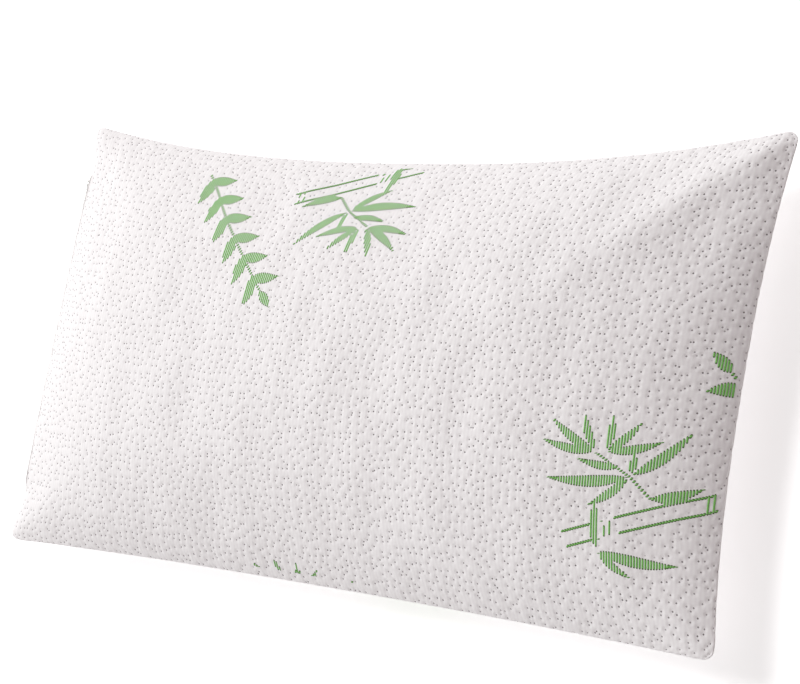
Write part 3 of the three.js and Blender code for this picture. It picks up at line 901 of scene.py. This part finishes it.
nylon = even_texture(
    "extruded nylon monofilament",
    "ShaderNodeTexNoise",
    {"Scale": 1 / 0.004},
    tones=("E3E2DE", "F6F5F2"),
    relief=None,
    look={"Roughness": 0.35, "IOR": 1.53, "Subsurface Weight": 0.2, "Subsurface Scale": 0.001},
)

for end, side in (("front", 1), ("back", -1)):
    name = "coil_" + end
    coil_low, coil_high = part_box("zipper_" + name)
    depth = (coil_high.x - coil_low.x) / 2 - FILAMENT_RADIUS
    turn = np.linspace(0, 2 * np.pi, 11)
    forward = TURN_PITCH * turn / (2 * np.pi)
    wire = np.stack([forward, -depth * np.sin(turn), side * COIL_HALF_WIDTH * np.cos(turn)], axis=1)
    coil_turn = tube("turn", wire, FILAMENT_RADIUS, sides=5)
    spread_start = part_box("zipper_slider_body")[0].y + SPREAD_LENGTH
    coil_y = np.linspace(coil_low.y + TURN_PITCH, coil_high.y - TURN_PITCH, CHAIN_POINTS)
    coil_y += (side - 1) * TURN_PITCH / 4  # the turns of the two halves alternate
    spread = COIL_SPREAD * smooth((coil_y - spread_start) / SPREAD_LENGTH)
    middle_x = (coil_low.x + coil_high.x) / 2
    level = seam_height + side * (COIL_OFFSET + spread)
    path = np.stack([coil_y * 0 + middle_x, coil_y, level], axis=1)
    chain_line = line_object("chain", path)
    piece = with_nodes(chain_line, name, along_group, Unit=coil_turn, Pitch=TURN_PITCH, Material=nylon)
    bpy.data.objects.remove(coil_turn)
    fitted(piece, "pillow", "zipper_" + name)

# ---------------------------------------------------------------- zipper stops, slider and pull
# Die-cast zinc alloy, nickel plated: bright, with softened edges and a faint cast unevenness.
# The stops are crimped on the tapes, and the pull hangs by its bar under the slider's bridge.

nickel, tree, shader = new_material("nickel-plated zinc die casting")
object_place = add_node(tree, "ShaderNodeTexCoord").outputs["Object"]
cast = add_node(tree, "ShaderNodeTexNoise", {"Vector": object_place, "Scale": 350, "Detail": 3})
dulled = add_node(tree, "ShaderNodeMapRange", {"Value": cast.outputs[0], "To Min": 0.2, "To Max": 0.4})
cast_relief = {"Strength": 0.1, "Distance": 0.0001, "Height": cast.outputs[0]}
cast_bump = add_node(tree, "ShaderNodeBump", cast_relief)
plated = {"Base Color": linear("C9C8C5"), "Metallic": 1}
set_inputs(tree, shader, {"Roughness": dulled.outputs[0], "Normal": cast_bump.outputs[0], **plated})

EDGE_ROUND = 0.00022
for name, body in (
    ("zipper_top_stop_front", "pillow"),
    ("zipper_top_stop_back", "pillow"),
    ("zipper_bottom_stop", "pillow"),
    ("zipper_slider_body", "slider"),
    ("zipper_pull_tab", "pull"),
):
    shape = bmesh.new()
    shape.from_mesh(nodes[name].data)
    shape.transform(nodes[name].matrix_world)
    bmesh.ops.remove_doubles(shape, verts=shape.verts, dist=1e-6)
    nearly_flat, sharp_angle = math.radians(1), math.radians(30)
    bmesh.ops.dissolve_limit(shape, angle_limit=nearly_flat, verts=shape.verts, edges=shape.edges)
    sharp = [edge for edge in shape.edges if edge.is_manifold and edge.calc_face_angle() > sharp_angle]
    bevel = {"offset": EDGE_ROUND, "segments": 2, "profile": 0.5, "affect": "EDGES", "clamp_overlap": True}
    bmesh.ops.bevel(shape, geom=sharp, **bevel)
    mesh = bpy.data.meshes.new(name + "_rounded")
    shape.to_mesh(mesh)
    shape.free()
    piece = bpy.data.objects.new(name + "_rounded", mesh)
    bpy.context.scene.collection.objects.link(piece)
    mesh.materials.append(nickel)
    fitted(piece, body, name)

# ---------------------------------------------------------------- inner case
# Two sheets of thin polyester tricot, sewn shut all round, that hold the fill inside the cover.
# White and smooth, with fine upright wales; slightly slack, so it wrinkles.

CASE_SETBACK = 0.012
CASE_CLEARANCE = 0.005
CASE_REST = 0.0034  # the lowest point over the floor, above the back panel
WRINKLE_HEIGHT = 0.0006
WRINKLE_FADE = 0.03

TRICOT_PITCH = 0.00196  # drawn coarser than the real 0.8 mm
tricot = even_texture(
    "warp-knitted polyester tricot",
    "ShaderNodeTexWave",
    {"Scale": STRAIGHT_BAND / TRICOT_PITCH, "Distortion": 0.8, "Detail": 1},
    tones=("E6E5E2", "F7F6F3"),
    relief=(0.3, 0.0003),
    look={"Roughness": 0.8, "Sheen Weight": 0.25},
)


def set_back(panel, setback, clearance, rest):
    """A cover panel's shape made smaller, for a layer inside it."""
    inner = panel * (1 - setback / half_width, 1 - setback / half_height, 1)
    inner[..., 2] = seam_height + (panel[..., 2] - seam_height) * (crown - clearance) / crown
    inner[..., 2] = rest + above_floor(inner[..., 2] - rest, 0.002)
    return inner


for end, panel, side in (("front", front, 1), ("back", back, -1)):
    name = "case_" + end
    case = set_back(panel, CASE_SETBACK, CASE_CLEARANCE, CASE_REST)
    wrinkles = WRINKLE_HEIGHT * (1 + lumps(10, shortest=0.02, longest=0.06))
    case[..., 2] -= side * wrinkles * smooth(edge_distance / WRINKLE_FADE)
    # At the zipper end the case is sewn shut, although the cover is open there.
    case[0, :, 2] = case[1, :, 2] * 0.3 + 0.7 * (seam_height + side * SEAM_HALF_GAP)
    cloth = mesh_object(name, case, grid_faces(COLUMNS, ROWS)[:, ::side])
    rounded_off(cloth, 1)
    piece = applied(cloth, name)
    piece.data.materials.append(tricot)
    fitted(piece, "pillow", "inner_" + name)

# ---------------------------------------------------------------- inner case seam
# The same overlock closes the inner case all the way round.
# White thread over a narrow seam allowance, with the sewing's start and end in the middle of one side.

whole_order = np.roll(np.arange(len(rim)), ROWS // 2)
CASE_OVERLOCK_INNER = 0.006
case_seam = (whole_order, CASE_SETBACK, OVERLOCK_OUTER, CASE_OVERLOCK_INNER)
overlocked("case_overlock", "inner_case_seam_thread", *case_seam)

# ---------------------------------------------------------------- care label
# A short satin ribbon, folded into the case's seam at the zipper end. It is left blank.
# Glossier than the knit, with fine cross ribs; its free edge droops a little.

SATIN_RIB = 0.00063
satin = even_texture(
    "woven polyester satin ribbon",
    "ShaderNodeTexWave",
    {"Scale": STRAIGHT_BAND / SATIN_RIB},
    tones=("EFEEEC", "FCFBFA"),
    relief=(0.25, 0.0001),
    look={"Roughness": 0.4},
    bands_direction="Y",
)

label_low, label_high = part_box("care_label")
LABEL_TUCK = 0.0045  # how far the ribbon runs into the seam
LABEL_COLUMNS, LABEL_ROWS = 12, 30
across_ribbon = np.linspace(label_low.x, label_high.x + LABEL_TUCK, LABEL_COLUMNS + 1)
along_ribbon = np.linspace(label_low.y, label_high.y, LABEL_ROWS + 1)
label_x, label_y = np.meshgrid(across_ribbon, along_ribbon, indexing="ij")
free = np.maximum(0, label_high.x - label_x) / (label_high.x - label_low.x)
DROOP = 0.0015
ripple = 1 + 0.4 * np.cos((label_y - label_low.y) * 150)
droop = DROOP * free**2 * ripple
label_points = np.stack([label_x, label_y, seam_height - droop], axis=-1)
cloth = mesh_object("blank_label", label_points, grid_faces(LABEL_COLUMNS, LABEL_ROWS))
thickened(cloth, label_high.z - label_low.z)
label = applied(cloth, "blank_label")
label.data.materials.append(satin)
fitted(label, "pillow", "care_label")

# ---------------------------------------------------------------- foam fill
# Shredded memory foam: soft open-cell crumbs of uneven size, packed into the case.
# Cream and matte, each crumb a slightly different tone; the core between the crumbs has no tone and takes
# the darkest cream, as painted shade in the gaps.

CRUMB_RADIUS = 0.0085  # before each is squashed by its own shares
PORE_SIZE = 1 / 900
CRUMBS_PER_SQUARE_METRE = 11500
CORE_SETBACK = 0.028
CORE_CLEARANCE = 0.0175
CORE_REST = 0.0135
NARROWING_HEIGHT = 0.025  # of the core's face over the seam, below which the crumbs get smaller
SMALLEST_CRUMB = 0.25  # share of its full size

foam, tree, shader = new_material("shredded viscoelastic polyurethane foam")
# A crumb's random tone sets its cream; the core, with no tone, gets the darker end, which is painted shade
# between the crumbs.
tone = add_node(tree, "ShaderNodeAttribute", attribute_name="tone").outputs["Fac"]
foam_tones_and_gap_shade = {"Factor": tone, 6: linear("DCD2B0"), 7: linear("F3EEDC")}
foam_colour = add_node(tree, "ShaderNodeMix", foam_tones_and_gap_shade, data_type="RGBA")
object_place = add_node(tree, "ShaderNodeTexCoord").outputs["Object"]
pores = add_node(tree, "ShaderNodeTexVoronoi", {"Vector": object_place, "Scale": 1 / PORE_SIZE})
pore_relief = {"Strength": 0.6, "Distance": 0.0003, "Height": pores.outputs["Distance"]}
pore_bump = add_node(tree, "ShaderNodeBump", pore_relief)
foam_look = {"Base Color": foam_colour.outputs[2], "Normal": pore_bump.outputs[0], "Roughness": 0.95}
set_inputs(tree, shader, foam_look)

group, given = node_group(
    "foam crumbs",
    Density="NodeSocketFloat",
    Radius="NodeSocketFloat",
    Seed="NodeSocketInt",
    Material="NodeSocketMaterial",
)
scattering = {"Mesh": given["Geometry"], "Density": given["Density"], "Seed": given["Seed"]}
scattered = add_node(group, "GeometryNodeDistributePointsOnFaces", scattering)
crumb = add_node(group, "GeometryNodeMeshIcoSphere", {"Radius": given["Radius"], "Subdivisions": 1})
full_turn = 2 * math.pi
turn_range = {1: (full_turn, full_turn, full_turn), "Seed": given["Seed"]}
turns = add_node(group, "FunctionNodeRandomValue", turn_range, data_type="FLOAT_VECTOR")
size_range = {0: (0.65, 0.6, 0.5), 1: (1.15, 1.05, 0.85), "Seed": given["Seed"]}
sizes = add_node(group, "FunctionNodeRandomValue", size_range, data_type="FLOAT_VECTOR")
room = add_node(group, "GeometryNodeInputNamedAttribute", {"Name": "room"}).outputs[0]
in_room = add_node(group, "ShaderNodeVectorMath", {0: sizes.outputs[0], "Scale": room}, operation="SCALE")
placing = {"Points": scattered.outputs["Points"], "Instance": crumb.outputs[0]}
placing |= {"Scale": in_room.outputs[0], "Rotation": turns.outputs[0]}
crumbs = add_node(group, "GeometryNodeInstanceOnPoints", placing)
tones = add_node(group, "FunctionNodeRandomValue", {"Seed": given["Seed"]})
toning = {"Geometry": crumbs.outputs[0], "Name": "tone", "Value": tones.outputs[1]}
toned = add_node(
    group, "GeometryNodeStoreNamedAttribute", toning, data_type="FLOAT", domain="INSTANCE"
)
# The core joins in with no tone, so it shows the darkest cream: painted shade in the gaps between crumbs.
both = add_node(group, "GeometryNodeJoinGeometry")
group.links.new(toned.outputs[0], both.inputs[0])
group.links.new(given["Geometry"], both.inputs[0])
colouring = {"Geometry": both.outputs[0], "Material": given["Material"]}
coloured = add_node(group, "GeometryNodeSetMaterial", colouring)
end_group(group, coloured.outputs[0])

core_front = set_back(front, CORE_SETBACK, CORE_CLEARANCE, CORE_REST)
core_back = set_back(back, CORE_SETBACK, CORE_CLEARANCE, CORE_REST)
core_front[..., 2] = np.maximum(core_front[..., 2], seam_height + SEAM_HALF_GAP)
core_back[..., 2] = np.minimum(core_back[..., 2], seam_height - SEAM_HALF_GAP)
for core in (core_front, core_back):
    core[0, :, 2] = core[-1, :, 2]
core_points = np.concatenate([core_front.reshape(-1, 3), core_back.reshape(-1, 3)])
core = mesh_object("core", core_points, shell_faces())
# The case narrows to its seam, and the crumbs with it.
room = np.clip(np.abs(core_points[:, 2] - seam_height) / NARROWING_HEIGHT, SMALLEST_CRUMB, 1)
core.data.attributes.new("room", "FLOAT", "POINT").data.foreach_set("value", room)
crumb_values = {"Density": CRUMBS_PER_SQUARE_METRE, "Radius": CRUMB_RADIUS, "Seed": 3}
fill = with_nodes(core, "foam_crumbs", group, **crumb_values, Material=foam)
fitted(fill, "pillow", "foam_fill")

# ---------------------------------------------------------------- setting and camera
# A white sweep with a large soft light from the zipper end, and one camera above the right end.

FLOOR_REACH = 9
FLOOR_HEIGHT = -0.0005
across = (-FLOOR_REACH, FLOOR_REACH, FLOOR_REACH, -FLOOR_REACH)
floor_corners = [(x, y, FLOOR_HEIGHT) for x, y in zip(across, np.roll(across, 1))]
floor = mesh_object("floor", floor_corners, [(0, 1, 2, 3)])
sweep, tree, shader = new_material("matte white studio sweep")
glow = {"Emission Color": linear("FFFFFF"), "Emission Strength": 0.4}
set_inputs(tree, shader, {"Base Color": linear("FBFBFB"), "Roughness": 0.9, **glow})
floor.data.materials.append(sweep)

world = bpy.data.worlds.new("studio")
bpy.context.scene.world = world
world.use_nodes = True
tree = world.node_tree
sky_direction = add_node(tree, "ShaderNodeTexCoord").outputs["Generated"]
to_right = add_node(tree, "ShaderNodeSeparateXYZ", {0: sky_direction}).outputs["X"]
shadow_side = add_node(tree, "ShaderNodeMapRange", {"Value": to_right, "From Min": -0.3, "From Max": 0.6})
sky_tones = {"Factor": shadow_side.outputs[0], 6: linear("FFFFFF"), 7: linear("6B4B4A")}
sky = add_node(tree, "ShaderNodeMix", sky_tones, data_type="RGBA")
set_inputs(tree, tree.nodes["Background"], {"Color": sky.outputs[2], "Strength": 0.66})


def area_light(name, towards, distance, size, power):
    """A square soft light that looks at the pillow from one direction."""
    lamp = bpy.data.lights.new(name, "AREA")
    lamp.size = size
    lamp.energy = power
    made = bpy.data.objects.new(name, lamp)
    bpy.context.scene.collection.objects.link(made)
    aim = Vector(towards).normalized()
    made.location = aim * distance
    made.rotation_euler = aim.to_track_quat("Z", "Y").to_euler()


area_light("key", towards=(-0.44, 0.25, 0.84), distance=6, size=2.6, power=224)

camera = bpy.data.objects.new("camera", bpy.data.cameras.new("camera"))
bpy.context.scene.collection.objects.link(camera)
bpy.context.scene.camera = camera
camera.data.lens = 94.9
camera.location = (1.3038, -0.2748, 1.6592 + seam_height)
camera.rotation_euler = [math.radians(angle) for angle in (15.668, 35.025, 12.969)]
bpy.context.scene.view_settings.view_transform = "Standard"
